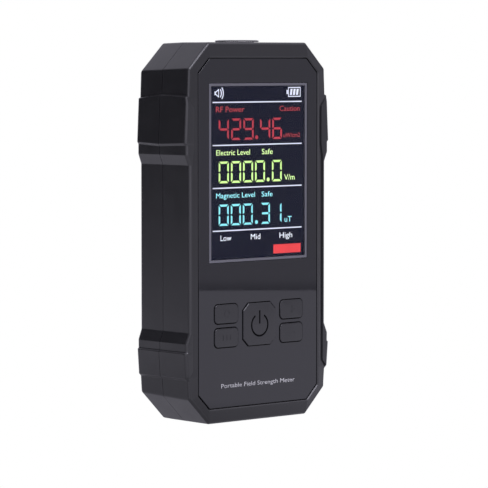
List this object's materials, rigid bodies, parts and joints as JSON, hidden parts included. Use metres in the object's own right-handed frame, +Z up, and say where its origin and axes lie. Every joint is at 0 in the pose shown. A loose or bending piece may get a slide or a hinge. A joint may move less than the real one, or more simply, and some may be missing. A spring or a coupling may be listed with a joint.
{
  "type": "handheld electromagnetic field meter",
  "caption": "Upright handheld field meter with a tall colour display, a round-cornered keypad round a power key, stepped side grips and a battery door in its back.",
  "frame": {"origin": "middle of the flat base, under the centre of the case", "axes": "+Z up the length of the case towards the sensor cap, +Y towards the battery door, -Y towards the display and keys, +X to the right as the display is read"},
  "size_m": [0.067, 0.03, 0.13],
  "materials": {
    "case_plastic": "satin black moulded ABS",
    "key_plastic": "satin black moulded plastic",
    "panel_gloss": "polished black panel",
    "border_grey": "light grey inlay",
    "window_clear": "clear polished cover",
    "display_glass": "dark colour display",
    "white_plastic": "white moulded plastic",
    "flex_amber": "amber flexible circuit",
    "board_green": "green solder mask",
    "chip_black": "black moulded resin",
    "steel": "plated steel",
    "spring_steel": "nickel-plated wire",
    "copper": "enamelled copper winding and foil",
    "cell_jacket": "plain printed sleeve"
  },
  "bodies": {
    "case": {"front_shell": "case_plastic", "back_shell": "case_plastic", "sensor_cap": "case_plastic", "front_panel": "panel_gloss", "screen_border": "border_grey", "screen_window": "window_clear", "display_glass": "display_glass", "backlight_tray": "white_plastic", "ribbon_socket": "white_plastic", "display_ribbon": "flex_amber", "main_board": "board_green", "radio_antenna_board": "board_green", "microcontroller": "chip_black", "sensor_amplifier": "chip_black", "buzzer": "chip_black", "power_switch": "chip_black", "upper_left_switch": "chip_black", "lower_left_switch": "chip_black", "upper_right_switch": "chip_black", "lower_right_switch": "chip_black", "shield_can": "steel", "case_screw_1": "steel", "case_screw_2": "steel", "case_screw_3": "steel", "case_screw_4": "steel", "board_screw_1": "steel", "board_screw_2": "steel", "board_screw_3": "steel", "board_screw_4": "steel", "left_contact_plate": "steel", "middle_contact_plate": "steel", "right_contact_plate": "steel", "left_contact_spring": "spring_steel", "middle_contact_spring": "spring_steel", "right_contact_spring": "spring_steel", "electric_field_plate": "copper", "magnetic_coil_x": "copper", "magnetic_coil_y": "copper", "magnetic_coil_z": "copper", "left_cell": "cell_jacket", "middle_cell": "cell_jacket", "right_cell": "cell_jacket"},
    "battery_cover": {"battery_door": "case_plastic"},
    "power_button": {"power_key": "key_plastic", "power_plunger": "white_plastic"},
    "upper_left_button": {"upper_left_key": "key_plastic", "upper_left_plunger": "white_plastic"},
    "lower_left_button": {"lower_left_key": "key_plastic", "lower_left_plunger": "white_plastic"},
    "upper_right_button": {"upper_right_key": "key_plastic", "upper_right_plunger": "white_plastic"},
    "lower_right_button": {"lower_right_key": "key_plastic", "lower_right_plunger": "white_plastic"}
  },
  "joints": [
    {"name": "power_press", "type": "slide", "parent": "case", "child": "power_button", "axis": [0, 1, 0], "range_m": [0, 0.0005], "stiffness_N_per_m": 2000},
    {"name": "upper_left_press", "type": "slide", "parent": "case", "child": "upper_left_button", "axis": [0, 1, 0], "range_m": [0, 0.0005], "stiffness_N_per_m": 2000},
    {"name": "lower_left_press", "type": "slide", "parent": "case", "child": "lower_left_button", "axis": [0, 1, 0], "range_m": [0, 0.0005], "stiffness_N_per_m": 2000},
    {"name": "upper_right_press", "type": "slide", "parent": "case", "child": "upper_right_button", "axis": [0, 1, 0], "range_m": [0, 0.0005], "stiffness_N_per_m": 2000},
    {"name": "lower_right_press", "type": "slide", "parent": "case", "child": "lower_right_button", "axis": [0, 1, 0], "range_m": [0, 0.0005], "stiffness_N_per_m": 2000},
    {"name": "battery_door_lift", "type": "slide", "parent": "case", "child": "battery_cover", "axis": [0, 1, 0], "range_m": [0, 0.025]}
  ]
}
